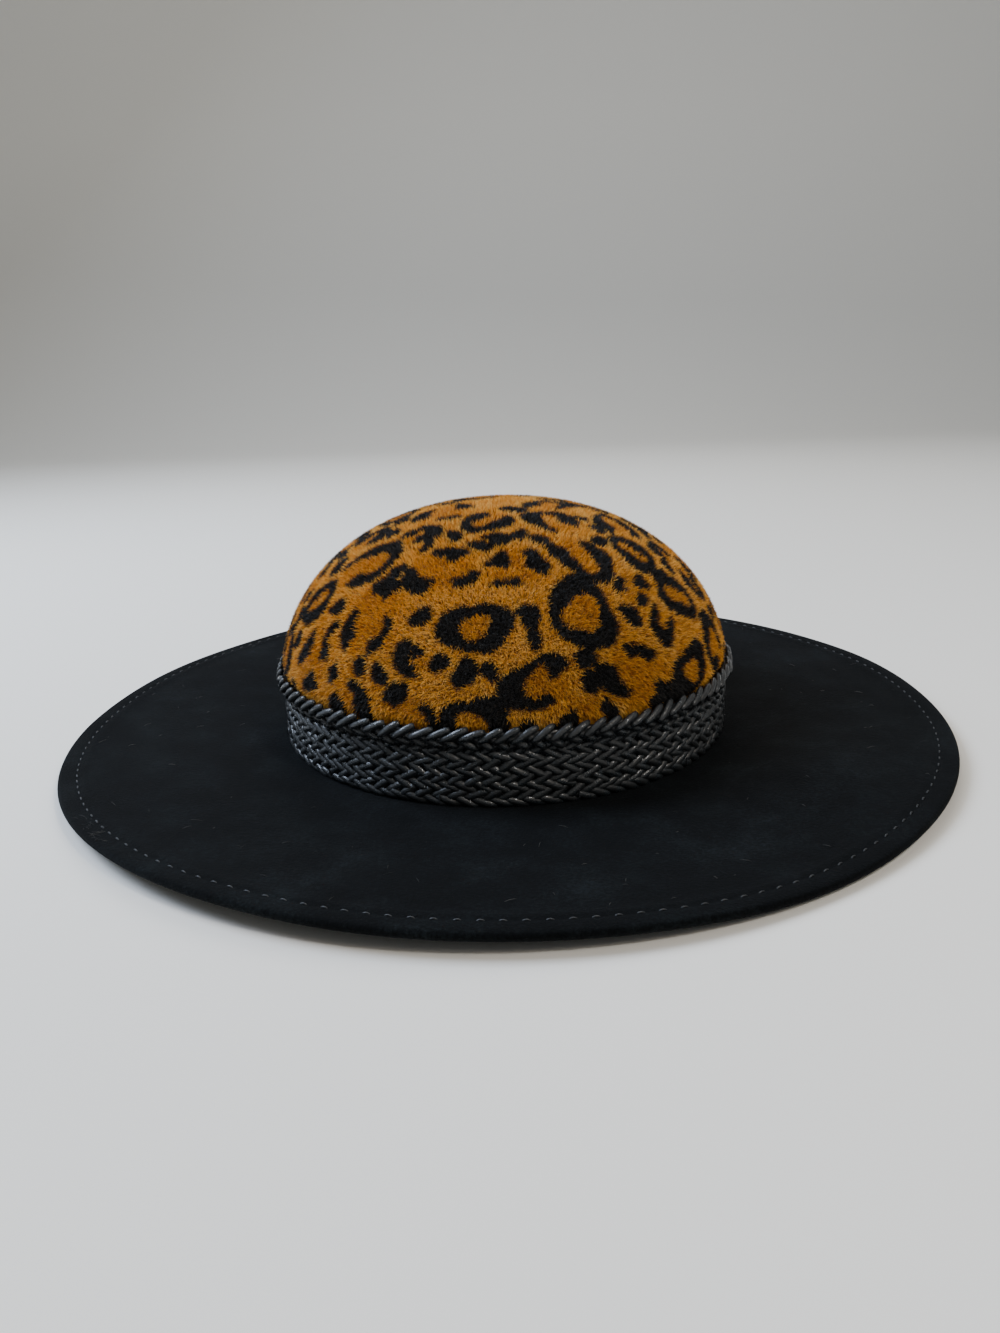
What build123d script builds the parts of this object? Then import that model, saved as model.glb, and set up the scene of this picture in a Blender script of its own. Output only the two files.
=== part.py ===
from build123d import *
import math
import os

# A wide-brimmed felt hat: a domed crown of long-pile felt, a felt brim whose edge is turned under
# over a flat wire, and a knitted cord band that covers the seam between the two.
# Millimetres. +Z is up and the front of the hat looks along -Y. The origin is under the middle of
# the hat, on the surface that the flat middle of the brim stands on.

# Head opening, measured inside the sweatband
head_half_width = 83.5
head_half_length = 91.5

# Brim
brim_half_width = 181.5
brim_half_length = 190.5
brim_felt = 2.0
hem_width = 10.0
fold_roundness = 0.8       # radius of the outer fold, in thicknesses of felt
brim_rise = 4.5            # how much higher the edge lies than the middle
seat_margin = 2.0          # the flat middle of the brim runs this far past the band
collar_height = 14.0       # the part of the brim that is turned up inside the crown

# Wire in the hem
wire_width = 1.8
wire_height = 0.8
joiner_wall = 0.35
joiner_length = 16.0
wire_end_gap = 1.0
wire_room = 0.15           # free space round the joiner in the hem

# Crown
crown_height = 94.0        # above the middle of the brim
crown_felt = 2.2
pile_length = 3.3
crushed_pile = 0.8         # what is left of the pile under the band
crown_swell = 6.0          # how far the crown stands out over the band
dome_level = 18.5          # the level where the dome would be upright, above the middle of the brim
dome_fullness = 2.15       # 2 is an ellipse, and more is squarer
dome_points = 12           # points of the dome's outline

# Band
band_height = 28.3
band_thickness = 3.6
band_rows = 10
band_flare = 3.5           # how far the top row stands out from the rest

# Sweatband
sweatband_height = 26.0
sweatband_thickness = 0.7

# Threads
thread = 0.45
hem_stitch_inset = 7.0
hem_stitch_length = 2.2
hem_stitch_pitch = 12.0
sweat_stitch_length = 3.0
sweat_stitch_count = 48
sweat_stitch_level = 2.0   # above the ribbon's lower edge
band_tack_count = 12

fit_gap = 0.3              # between soft layers that lie on each other
stitch_gap = 0.05          # between a stitch and the felt it lies on
edge_reach = 0.1           # an edge this near to the brim's outline belongs to it

# Layers from the head opening outwards, as distances from the opening's oval
collar_inside = sweatband_thickness + fit_gap
collar_outside = collar_inside + brim_felt
crown_inside = collar_outside + fit_gap
crown_pinched = crown_inside + crown_felt + crushed_pile
band_inside = crown_pinched + fit_gap
band_outside = band_inside + band_thickness
crown_outside = crown_pinched + crown_swell
crown_hollow = crown_outside - crown_felt - pile_length
seat_outside = band_outside + seat_margin

# Levels above the surface that the hat stands on
joiner_height = wire_height + 2 * (joiner_wall + stitch_gap)
joiner_width = wire_width + 2 * (joiner_wall + stitch_gap)
channel_height = joiner_height + 2 * wire_room
channel_width = joiner_width + 2 * wire_room
hem_depth = 2 * brim_felt + channel_height
brim_top = brim_felt
edge_top = brim_top + brim_rise
hem_foot = edge_top - hem_depth
channel_foot = hem_foot + brim_felt
channel_top = channel_foot + channel_height
crown_foot = brim_top + fit_gap
band_foot = brim_top + fit_gap
row_height = band_height / band_rows
band_top = band_foot + band_height
top_row_foot = band_top - row_height
shoulder = band_top + fit_gap
dome_foot = brim_top + dome_level
crown_top = brim_top + crown_height
hollow_top = crown_top - crown_felt - pile_length
sweatband_foot = 0.0
sweatband_top = sweatband_foot + sweatband_height


def head_oval(distance):
    """Half width and half length of the oval that runs this far outside the head opening."""
    return head_half_width + distance, head_half_length + distance


def edge_oval(inset):
    """Half width and half length of the oval that runs this far inside the brim's edge."""
    return brim_half_width - inset, brim_half_length - inset


def oval_wall(outer, inner, low, high):
    """An upright oval wall between two ovals and two levels."""
    with BuildPart() as wall:
        with BuildSketch(Plane.XY.offset(low)):
            Ellipse(*outer)
            Ellipse(*inner, mode=Mode.SUBTRACT)
        extrude(amount=high - low)
    return wall.part


def dish_room(low):
    """The solid room inside the dish that the brim makes, between its flat middle and its hem."""
    with BuildPart() as room:
        with BuildSketch(Plane.XY.offset(low)):
            Ellipse(*head_oval(seat_outside))
        with BuildSketch(Plane.XY.offset(low + brim_rise)):
            Ellipse(*edge_oval(hem_width))
        loft(ruled=True)
    return room.part


def oval_dome(distance, top):
    """A solid oval dome that stands on the dome's foot, this far outside the head opening there."""
    half_width, half_length = head_oval(distance)
    height = top - dome_foot
    turns = [math.pi / 2 * i / (dome_points - 1) for i in range(dome_points)]
    outline = [
        (half_width * math.cos(turn) ** (2 / dome_fullness),
         dome_foot + height * math.sin(turn) ** (2 / dome_fullness))
        for turn in turns
    ]
    outline[-1] = (0, top)
    with BuildPart() as round_dome:
        with BuildSketch(Plane.XZ):
            with BuildLine():
                Spline(*outline, tangents=[(0, 1), (-1, 0)])
                Polyline((0, top), (0, dome_foot), (half_width, dome_foot))
            make_face()
        revolve(axis=Axis.Z)
    return scale(round_dome.part, by=(1, half_length / half_width, 1))


def stitch_group(planes, length):
    """Small straight stitches, each lying on one plane along its X direction."""
    with BuildPart() as stitch:
        Box(length, thread, thread, align=(Align.CENTER, Align.CENTER, Align.MIN))
    return Compound([plane.location * stitch.part.solid() for plane in planes])


def wall_planes(oval, level, count, along=True):
    """Planes that stand on an upright oval wall, spaced evenly in angle, facing outwards."""
    planes = []
    for i in range(count):
        turn = 2 * math.pi * (i + 0.5) / count
        place = (oval[0] * math.cos(turn), oval[1] * math.sin(turn), level)
        outwards = Vector(math.cos(turn) / oval[0], math.sin(turn) / oval[1], 0).normalized()
        round_the_wall = Vector(-outwards.Y, outwards.X, 0)
        direction = round_the_wall if along else Vector(0, 0, 1)
        planes.append(Plane(origin=place, x_dir=direction, z_dir=outwards))
    return planes


os.makedirs("parts", exist_ok=True)

# Brim: one ply of felt, flat in the middle and dished up to the edge, with a turned-up collar at
# the head opening. The hem is a second ply at the edge, with a channel for the wire in its fold.
fold_inner = brim_felt + channel_width
fold_radius = fold_roundness * brim_felt
rim = brim_half_width - edge_reach
with BuildPart() as brim:
    add(dish_room(0))
    with BuildSketch(Plane.XY.offset(brim_rise)):
        Ellipse(*edge_oval(hem_width))
    extrude(amount=brim_felt)
    add(dish_room(brim_felt), mode=Mode.SUBTRACT)
    add(oval_wall(edge_oval(0), edge_oval(hem_width), channel_top - brim_felt, edge_top))
    add(oval_wall(edge_oval(0), edge_oval(fold_inner + brim_felt), hem_foot, channel_top))
    add(oval_wall(head_oval(collar_outside), head_oval(collar_inside), 0, brim_top + collar_height))
    with BuildSketch():
        Ellipse(*head_oval(collar_inside))
    extrude(amount=brim_top, mode=Mode.SUBTRACT)
    outer_edges = edges().filter_by(GeomType.ELLIPSE).filter_by(lambda edge: edge.bounding_box().max.X > rim)
    fillet(outer_edges, radius=fold_radius)
    add(oval_wall(edge_oval(brim_felt), edge_oval(fold_inner), channel_foot, channel_top), mode=Mode.SUBTRACT)
brim.part.label = "brim"
export_step(brim.part, "parts/brim.step")

# Hem wire: a flat wire once round the fold, with its two ends held in a joiner at the back
wire_inset = brim_felt + channel_width / 2
wire_level = channel_foot + channel_height / 2
wire_outer = edge_oval(wire_inset - wire_width / 2)
wire_inner = edge_oval(wire_inset + wire_width / 2)
with BuildPart() as brim_wire:
    add(oval_wall(wire_outer, wire_inner, wire_level - wire_height / 2, wire_level + wire_height / 2))
    with Locations((0, wire_outer[1], wire_level)):
        Box(wire_end_gap, wire_outer[1], 2 * wire_height, mode=Mode.SUBTRACT)
brim_wire.part.label = "brim_wire"
export_step(brim_wire.part, "parts/brim_wire.step")

# Wire joiner: a flat tube pressed over both ends of the wire
joiner_outer = edge_oval(wire_inset - joiner_width / 2)
joiner_inner = edge_oval(wire_inset + joiner_width / 2)
bore_outer = edge_oval(wire_inset - wire_width / 2 - stitch_gap)
bore_inner = edge_oval(wire_inset + wire_width / 2 + stitch_gap)
bore_half = wire_height / 2 + stitch_gap
with BuildPart() as wire_joiner:
    add(oval_wall(joiner_outer, joiner_inner, wire_level - joiner_height / 2, wire_level + joiner_height / 2))
    add(oval_wall(bore_outer, bore_inner, wire_level - bore_half, wire_level + bore_half), mode=Mode.SUBTRACT)
    with Locations((0, wire_outer[1], wire_level)):
        Box(joiner_length, wire_outer[1], 2 * joiner_height, mode=Mode.INTERSECT)
wire_joiner.part.label = "wire_joiner"
export_step(wire_joiner.part, "parts/wire_joiner.step")

# Crown: pinched by the band at its foot, swelling over it, and domed above
crown_shape = oval_dome(crown_outside, crown_top)
crown_room = oval_dome(crown_hollow, hollow_top)
crown_room = split(crown_room, bisect_by=Plane.XY.offset(shoulder + crown_felt), keep=Keep.TOP)
with BuildPart() as crown:
    add(crown_shape)
    split(bisect_by=Plane.XY.offset(shoulder), keep=Keep.TOP)
    add(oval_wall(head_oval(crown_pinched), head_oval(crown_inside), crown_foot, shoulder + crown_felt))
    with BuildSketch(Plane.XY.offset(crown_foot)):
        Ellipse(*head_oval(crown_inside))
    extrude(amount=shoulder + crown_felt - crown_foot, mode=Mode.SUBTRACT)
    add(crown_room, mode=Mode.SUBTRACT)
crown.part.label = "crown"
export_step(crown.part, "parts/crown.step")

# Hat band: knitted cord, with a top row that stands out over the others
with BuildPart() as hat_band:
    add(oval_wall(head_oval(band_outside), head_oval(band_inside), band_foot, top_row_foot))
    add(oval_wall(head_oval(band_outside + band_flare), head_oval(band_inside), top_row_foot, band_top))
hat_band.part.label = "hat_band"
export_step(hat_band.part, "parts/hat_band.step")

# Sweatband: a ribbon inside the head opening
with BuildPart() as sweatband:
    add(oval_wall(head_oval(sweatband_thickness), head_oval(0), sweatband_foot, sweatband_top))
sweatband.part.label = "sweatband"
export_step(sweatband.part, "parts/sweatband.step")

# Hem stitches: a row of short stitches on the brim's upper face
stitch_oval = edge_oval(hem_stitch_inset)
hem_stitch_count = round(math.pi * (stitch_oval[0] + stitch_oval[1]) / hem_stitch_pitch)
hem_planes = []
for i in range(hem_stitch_count):
    turn = 2 * math.pi * i / hem_stitch_count
    place = (stitch_oval[0] * math.cos(turn), stitch_oval[1] * math.sin(turn), edge_top + stitch_gap)
    direction = (-stitch_oval[0] * math.sin(turn), stitch_oval[1] * math.cos(turn), 0)
    hem_planes.append(Plane(origin=place, x_dir=direction, z_dir=(0, 0, 1)))
hem_stitches = stitch_group(hem_planes, hem_stitch_length)
hem_stitches.label = "hem_stitches"
export_step(hem_stitches, "parts/hem_stitches.step")

# Band tacks: small upright stitches that hold the band's lowest row to the crown's foot
tack_oval = head_oval(band_outside + stitch_gap)
tack_planes = wall_planes(tack_oval, band_foot + row_height, band_tack_count, along=False)
band_tacks = stitch_group(tack_planes, row_height)
band_tacks.label = "band_tacks"
export_step(band_tacks, "parts/band_tacks.step")

# Sweatband stitches: a row inside the head opening, just above the ribbon's lower edge
sweat_oval = head_oval(-stitch_gap - thread)
sweat_planes = wall_planes(sweat_oval, sweatband_foot + sweat_stitch_level, sweat_stitch_count)
sweatband_stitches = stitch_group(sweat_planes, sweat_stitch_length)
sweatband_stitches.label = "sweatband_stitches"
export_step(sweatband_stitches, "parts/sweatband_stitches.step")
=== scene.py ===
import bpy
import bmesh
import math
import random
import numpy as np
from mathutils import Euler, Matrix, Vector, noise


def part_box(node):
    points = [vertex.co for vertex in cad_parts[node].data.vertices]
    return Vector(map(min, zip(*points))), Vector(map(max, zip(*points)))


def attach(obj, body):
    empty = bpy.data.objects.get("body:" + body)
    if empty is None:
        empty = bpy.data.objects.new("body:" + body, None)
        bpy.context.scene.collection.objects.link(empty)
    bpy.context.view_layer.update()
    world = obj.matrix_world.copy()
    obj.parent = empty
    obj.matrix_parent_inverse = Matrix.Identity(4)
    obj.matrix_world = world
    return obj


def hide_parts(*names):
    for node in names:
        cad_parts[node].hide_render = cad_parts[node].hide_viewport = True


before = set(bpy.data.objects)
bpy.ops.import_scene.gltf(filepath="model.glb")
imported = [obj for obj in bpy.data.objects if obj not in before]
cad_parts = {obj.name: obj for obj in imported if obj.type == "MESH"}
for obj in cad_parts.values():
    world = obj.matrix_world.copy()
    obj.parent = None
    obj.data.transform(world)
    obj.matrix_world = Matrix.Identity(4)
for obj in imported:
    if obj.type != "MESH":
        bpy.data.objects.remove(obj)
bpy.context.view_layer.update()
mm = 0.001
scene = bpy.context.scene


brimLow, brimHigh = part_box("brim")
crownLow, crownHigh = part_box("crown")
bandLow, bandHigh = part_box("hat_band")
ribbonLow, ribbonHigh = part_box("sweatband")
edgeHalf = (brimHigh.x, brimHigh.y)
brimTop = bandLow.z - 0.3 * mm                  # upper face of the brim at the crown
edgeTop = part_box("hem_stitches")[0].z - 0.05 * mm
headHalf = (ribbonHigh.x, ribbonHigh.y)         # outer face of the sweatband
collarTop = brimHigh.z


def ovalPoint(half, turn, grow=0.0):
    return (half[0] + grow) * math.cos(turn), (half[1] + grow) * math.sin(turn)


def ovalOutward(half, turn):
    return Vector((math.cos(turn) / half[0], math.sin(turn) / half[1], 0)).normalized()


def smooth(low, high, value):
    t = min(1.0, max(0.0, (value - low) / (high - low)))
    return t * t * (3 - 2 * t)


def srgb(hexCode, alpha=1.0):
    channels = [int(hexCode[i:i + 2], 16) / 255 for i in (0, 2, 4)]
    linear = [c / 12.92 if c <= 0.04045 else ((c + 0.055) / 1.055) ** 2.4 for c in channels]
    return (*linear, alpha)


def addNode(tree, kind, settings=None, **links):
    # settings are the node's own properties; links are socket values or sockets to join
    node = tree.nodes.new(kind)
    for key, value in (settings or {}).items():
        setattr(node, key, value)
    for key, value in links.items():
        socket = node.inputs[int(key[1:])] if key[0] == "i" and key[1:].isdigit() else node.inputs[key.replace("_", " ")]
        if isinstance(value, bpy.types.NodeSocket):
            tree.links.new(value, socket)
        else:
            socket.default_value = value
    return node


def newMaterial(name):
    material = bpy.data.materials.new(name)
    material.use_nodes = True
    tree = material.node_tree
    shader = tree.nodes["Principled BSDF"]
    return material, tree, shader


def setRamp(node, stops):
    ramp = node.color_ramp
    while len(ramp.elements) < len(stops):
        ramp.elements.new(0.5)
    for element, (place, colour) in zip(ramp.elements, stops):
        element.position = place
        element.color = colour
    return node


def meshObject(name, points, faces, smoothShade=True):
    mesh = bpy.data.meshes.new(name)
    mesh.from_pydata([tuple(p) for p in points], [], faces)
    mesh.validate()
    shape = bmesh.new()
    shape.from_mesh(mesh)
    bmesh.ops.recalc_face_normals(shape, faces=shape.faces)
    shape.to_mesh(mesh)
    shape.free()
    for face in mesh.polygons:
        face.use_smooth = smoothShade
    thing = bpy.data.objects.new(name, mesh)
    scene.collection.objects.link(thing)
    return thing


def ringObject(name, sections):
    # closed sections, one per turn, joined into one closed ring
    rounds, around = len(sections), len(sections[0])
    points = [p for section in sections for p in section]
    faces = []
    for i in range(rounds):
        for j in range(around):
            k, m = (i + 1) % rounds, (j + 1) % around
            faces.append((i * around + j, i * around + m, k * around + m, k * around + j))
    return meshObject(name, points, faces)


def finishPiece(thing, slotName, material, *nodes):
    if material:
        thing.data.materials.clear()
        thing.data.materials.append(material)
    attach(thing, "root")
    if nodes:
        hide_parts(*nodes)
    return thing


brimSize = {
    "felt": 2.0 * mm, "hemDepth": 3.4 * mm, "stitchInset": 7.0 * mm, "stitchPitch": 6.4 * mm,
    "pucker": 0.35 * mm, "seatShare": 0.13, "hemShare": 0.9, "turns": 528,
    "frontLift": 2.5 * mm, "frontDip": 2.0 * mm, "sideDroop": 2.0 * mm, "waveSpread": 30,
}


def brimSpan(turn):
    inner = Vector(ovalPoint(headHalf, turn, 0.3 * mm))
    outer = Vector(ovalPoint(edgeHalf, turn))
    return inner, outer, (outer - inner).length


def brimRise(turn, share):
    # the even dish of the brim, then the felt's slow rise and fall, none at the crown and most at the edge
    dish = (share - brimSize["seatShare"]) / (brimSize["hemShare"] - brimSize["seatShare"])
    rise = (edgeTop - brimTop) * min(1.0, max(0.0, dish))
    ramp = smooth(0.15, 1.0, share) * share

    def near(angle, spread):
        gap = (math.degrees(turn) - angle + 180) % 360 - 180
        return math.exp(-(gap / spread) ** 2)
    spread = brimSize["waveSpread"]
    rise += ramp * brimSize["frontLift"] * near(-110, spread)
    rise -= ramp * brimSize["frontDip"] * near(-60, spread)
    rise -= ramp * brimSize["sideDroop"] * near(180, spread)
    rise += 3.2 * mm * near(-34, 17) * math.exp(-((share - 0.55) / 0.26) ** 2)      # soft ridge, front right
    rise -= 1.5 * mm * near(-60, 16) * math.exp(-((share - 0.66) / 0.26) ** 2)      # hollow in front of it
    rise += 0.9 * mm * near(-150, 20) * math.exp(-((share - 0.55) / 0.25) ** 2)     # low swell, front left
    rise += 1.1 * mm * noise.noise(Vector((math.cos(turn) * 2.1, math.sin(turn) * 2.1, share * 2.0))) * ramp
    return rise


def brimPoint(turn, inset, level):
    # inset is the distance in from the edge, level the height over the brim's upper face
    inner, outer, span = brimSpan(turn)
    share = 1 - inset / span
    place = inner.lerp(outer, share)
    z = max(0.05 * mm, brimTop + level + brimRise(turn, share))
    return Vector((place.x, place.y, z))


def makeBrim():
    felt, hem = brimSize["felt"], brimSize["hemDepth"]
    stitchCount = round(math.pi * (sum(edgeHalf) - 2 * brimSize["stitchInset"]) / brimSize["stitchPitch"])
    sections = []
    for i in range(brimSize["turns"]):
        turn = 2 * math.pi * i / brimSize["turns"]
        span = brimSpan(turn)[2]
        pull = brimSize["pucker"] * (0.75 + 0.25 * math.cos(stitchCount * turn))
        top = []
        for inset, level in ((0.0, -1.6), (0.12, -1.05), (0.45, -0.5), (1.0, -0.17), (1.8, -0.02), (3.2, 0.05), (4.6, 0.02)):
            top.append((inset * mm, level * mm))
        top += [(5.8 * mm, -0.3 * pull), (6.6 * mm, -0.85 * pull), (7.0 * mm, -pull), (7.5 * mm, -0.8 * pull),
                (8.4 * mm, -0.25 * pull), (9.6 * mm, 0.0), (10.6 * mm, -0.12 * mm), (12.0 * mm, -0.22 * mm), (15 * mm, -0.2 * mm)]
        steps = 18
        for k in range(1, steps + 1):
            top.append((15 * mm + (span - 19 * mm) * k / steps, 0.0))
        top += [(span - 3.0 * mm, 0.15 * mm), (span - 2.3 * mm, 0.9 * mm)]
        section = [brimPoint(turn, inset, level) for inset, level in top]
        inner = Vector(ovalPoint(headHalf, turn, 0.3 * mm))
        outward = ovalOutward(headHalf, turn)
        for grow, z in ((2.0, collarTop - 0.5 * mm), (1.6, collarTop), (0.5, collarTop), (0.05, collarTop - 0.6 * mm),
                        (0.0, brimTop + 3 * mm), (0.0, brimTop - felt + 0.4 * mm)):
            place = Vector((inner.x, inner.y, z)) + outward * grow * mm
            section.append(place)
        under = [(span - 1.0 * mm, -felt)]
        for k in range(steps):
            under.append((span - 4 * mm - (span - 15.5 * mm) * k / steps, -felt))
        under += [(11.2 * mm, -felt), (10.3 * mm, -felt - 0.25 * mm), (9.9 * mm, -hem + 0.5 * mm), (9.3 * mm, -hem + 0.05 * mm),
                  (8.0 * mm, -hem + 0.6 * pull), (7.0 * mm, -hem + pull), (6.0 * mm, -hem + 0.5 * pull), (4.4 * mm, -hem),
                  (2.4 * mm, -hem + 0.02 * mm), (1.2 * mm, -hem + 0.25 * mm), (0.5 * mm, -hem + 0.65 * mm), (0.1 * mm, -hem + 1.2 * mm)]
        section += [brimPoint(turn, inset, level) for inset, level in under]
        sections.append(section)
    return ringObject("brim_felt", sections), stitchCount


def feltMaterial():
    # wool felt: short matted fibres, no gloss, a faint haze of fibre ends at grazing angles
    material, tree, shader = newMaterial("woolFelt")
    place = addNode(tree, "ShaderNodeTexCoord").outputs["Object"]
    cloud = addNode(tree, "ShaderNodeTexNoise", Vector=place, Scale=1 / (22 * mm), Detail=3.0, Roughness=0.6)
    fleck = addNode(tree, "ShaderNodeTexNoise", Vector=place, Scale=1 / (1.1 * mm), Detail=4.0, Roughness=0.7)
    fibre = addNode(tree, "ShaderNodeTexNoise", {"noise_type": "RIDGED_MULTIFRACTAL"}, Vector=place,
                    Scale=1 / (2.6 * mm), Detail=3.0, Distortion=1.4)
    mixed = addNode(tree, "ShaderNodeMath", {"operation": "MULTIPLY_ADD"}, i0=fleck.outputs["Fac"], i1=0.55,
                    i2=addNode(tree, "ShaderNodeMath", {"operation": "MULTIPLY"}, i0=cloud.outputs["Fac"], i1=0.45).outputs[0])
    ramp = setRamp(addNode(tree, "ShaderNodeValToRGB", Fac=mixed.outputs[0]),
                   [(0.38, srgb("040505")), (0.49, srgb("070809")), (0.58, srgb("0e1112")), (0.70, srgb("191d20"))])
    tree.links.new(ramp.outputs["Color"], shader.inputs["Base Color"])
    height = addNode(tree, "ShaderNodeMath", {"operation": "MULTIPLY_ADD"}, i0=fibre.outputs["Fac"], i1=0.35, i2=fleck.outputs["Fac"])
    bump = addNode(tree, "ShaderNodeBump", Strength=0.7, Distance=0.5 * mm, Height=height.outputs[0])
    tree.links.new(bump.outputs["Normal"], shader.inputs["Normal"])
    shader.inputs["Roughness"].default_value = 0.93
    shader.inputs["Specular IOR Level"].default_value = 0.07
    shader.inputs["Sheen Weight"].default_value = 0.02
    shader.inputs["Sheen Roughness"].default_value = 0.55
    shader.inputs["Sheen Tint"].default_value = srgb("c8d2dc")
    return material


brimFelt = feltMaterial()
brim, hemStitchCount = makeBrim()
finishPiece(brim, "brim_felt", brimFelt, "brim")
print("brim made")


wireSize = {"inset": 3.3 * mm, "level": -1.7 * mm, "half": 0.9 * mm, "thick": 0.5 * mm, "turns": 360, "joinerHalf": 8 * mm}


def makeWire(name, half, thick, start, end, closed):
    sections = []
    count = wireSize["turns"] if closed else 24
    for i in range(count):
        turn = start + (end - start) * i / (count if closed else count - 1)
        corner = [(-half, 0.6 * thick), (-0.6 * half, thick), (0.6 * half, thick), (half, 0.6 * thick),
                  (half, -0.6 * thick), (0.6 * half, -thick), (-0.6 * half, -thick), (-half, -0.6 * thick)]
        sections.append([brimPoint(turn, wireSize["inset"] + across, wireSize["level"] + up) for across, up in corner])
    if closed:
        return ringObject(name, sections)
    around = len(sections[0])
    points = [p for section in sections for p in section]
    faces = [(i * around + j, i * around + (j + 1) % around, (i + 1) * around + (j + 1) % around, (i + 1) * around + j)
             for i in range(count - 1) for j in range(around)]
    faces += [tuple(range(around)), tuple((count - 1) * around + j for j in range(around))]
    return meshObject(name, points, faces)


def steelMaterial():
    # drawn spring steel: grey, fine lines along the wire
    material, tree, shader = newMaterial("drawnSpringSteel")
    place = addNode(tree, "ShaderNodeTexCoord").outputs["Object"]
    grain = addNode(tree, "ShaderNodeTexNoise", Vector=place, Scale=1 / (0.6 * mm), Detail=2.0)
    ramp = setRamp(addNode(tree, "ShaderNodeValToRGB", Fac=grain.outputs["Fac"]),
                   [(0.3, srgb("8f9294")), (0.7, srgb("b4b6b8"))])
    tree.links.new(ramp.outputs["Color"], shader.inputs["Base Color"])
    shader.inputs["Metallic"].default_value = 1.0
    shader.inputs["Roughness"].default_value = 0.35
    return material


springSteel = steelMaterial()
backTurn = math.pi / 2
joinerTurn = wireSize["joinerHalf"] / edgeHalf[0]
finishPiece(makeWire("hem_wire", 0.9 * mm, 0.5 * mm, backTurn + 0.003, backTurn + 2 * math.pi - 0.003, True),
            "wire", springSteel, "brim_wire")
finishPiece(makeWire("hem_wire_joiner", 1.2 * mm, 0.75 * mm, backTurn - joinerTurn, backTurn + joinerTurn, False),
            "wire", springSteel, "wire_joiner")


def placesObject(name, places):
    # each place is (position, facing as Euler angles, size as three factors)
    mesh = bpy.data.meshes.new(name)
    mesh.from_pydata([tuple(p[0]) for p in places], [], [])
    for label, index in (("facing", 1), ("size", 2)):
        layer = mesh.attributes.new(label, "FLOAT_VECTOR", "POINT")
        layer.data.foreach_set("vector", [c for p in places for c in p[index]])
    thing = bpy.data.objects.new(name, mesh)
    scene.collection.objects.link(thing)
    return thing


def setterTree():
    tree = bpy.data.node_groups.new("setPieces", "GeometryNodeTree")
    face = tree.interface
    face.new_socket("Places", in_out="INPUT", socket_type="NodeSocketGeometry")
    face.new_socket("Piece", in_out="INPUT", socket_type="NodeSocketObject")
    face.new_socket("Finish", in_out="INPUT", socket_type="NodeSocketMaterial")
    face.new_socket("Wobble", in_out="INPUT", socket_type="NodeSocketFloat")
    face.new_socket("Seed", in_out="INPUT", socket_type="NodeSocketInt")
    face.new_socket("Pieces", in_out="OUTPUT", socket_type="NodeSocketGeometry")
    source = addNode(tree, "NodeGroupInput")
    piece = addNode(tree, "GeometryNodeObjectInfo", Object=source.outputs["Piece"])
    facing = addNode(tree, "GeometryNodeInputNamedAttribute", {"data_type": "FLOAT_VECTOR"}, Name="facing")
    size = addNode(tree, "GeometryNodeInputNamedAttribute", {"data_type": "FLOAT_VECTOR"}, Name="size")
    low = addNode(tree, "ShaderNodeMath", {"operation": "MULTIPLY"}, i0=source.outputs["Wobble"], i1=-1.0)
    shake = addNode(tree, "FunctionNodeRandomValue", {"data_type": "FLOAT_VECTOR"}, i0=low.outputs[0],
                    i1=source.outputs["Wobble"], Seed=source.outputs["Seed"])
    turned = addNode(tree, "FunctionNodeRotateRotation", {"rotation_space": "LOCAL"},
                     i0=addNode(tree, "FunctionNodeEulerToRotation", i0=facing.outputs[0]).outputs[0],
                     i1=addNode(tree, "FunctionNodeEulerToRotation", i0=shake.outputs[0]).outputs[0])
    laid = addNode(tree, "GeometryNodeInstanceOnPoints", Points=source.outputs["Places"],
                   Instance=piece.outputs["Geometry"], Rotation=turned.outputs[0], Scale=size.outputs[0])
    real = addNode(tree, "GeometryNodeRealizeInstances", Geometry=laid.outputs[0])
    done = addNode(tree, "GeometryNodeSetMaterial", Geometry=real.outputs[0], Material=source.outputs["Finish"])
    addNode(tree, "NodeGroupOutput", Pieces=done.outputs[0])
    return tree


def runTree(thing, tree, name, **values):
    # runs the tree on the object and hands back a plain mesh object
    modifier = thing.modifiers.new("make", "NODES")
    modifier.node_group = tree
    for item in tree.interface.items_tree:
        if item.in_out == "INPUT" and item.name in values:
            modifier[item.identifier] = values[item.name]
    bpy.context.view_layer.update()
    graph = bpy.context.evaluated_depsgraph_get()
    mesh = bpy.data.meshes.new_from_object(thing.evaluated_get(graph), depsgraph=graph)
    thing.modifiers.remove(modifier)
    made = bpy.data.objects.new(name, mesh)
    mesh.name = name
    scene.collection.objects.link(made)
    return made


def dropObjects(*things):
    for thing in things:
        bpy.data.objects.remove(thing)


setPieces = setterTree()


def facingFrom(along, outward):
    # Euler angles that turn X to along and Z to outward
    across = outward.cross(along).normalized()
    along = across.cross(outward).normalized()
    return Matrix((along, across, outward)).transposed().to_euler()


def tubeMesh(name, path, radii, sides):
    # closed tube through the points, with a flat cap at each end
    points, faces = [], []
    for i, centre in enumerate(path):
        ahead = (path[min(i + 1, len(path) - 1)] - path[max(i - 1, 0)]).normalized()
        sideways = ahead.cross(Vector((0, 1, 0))).normalized()
        upward = sideways.cross(ahead)
        for j in range(sides):
            turn = 2 * math.pi * j / sides
            points.append(centre + (sideways * math.cos(turn) + upward * math.sin(turn)) * radii[i])
    for i in range(len(path) - 1):
        for j in range(sides):
            k = (j + 1) % sides
            faces.append((i * sides + j, i * sides + k, (i + 1) * sides + k, (i + 1) * sides + j))
    faces.append(tuple(range(sides)))
    faces.append(tuple((len(path) - 1) * sides + j for j in range(sides)))
    return meshObject(name, points, faces)


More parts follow.
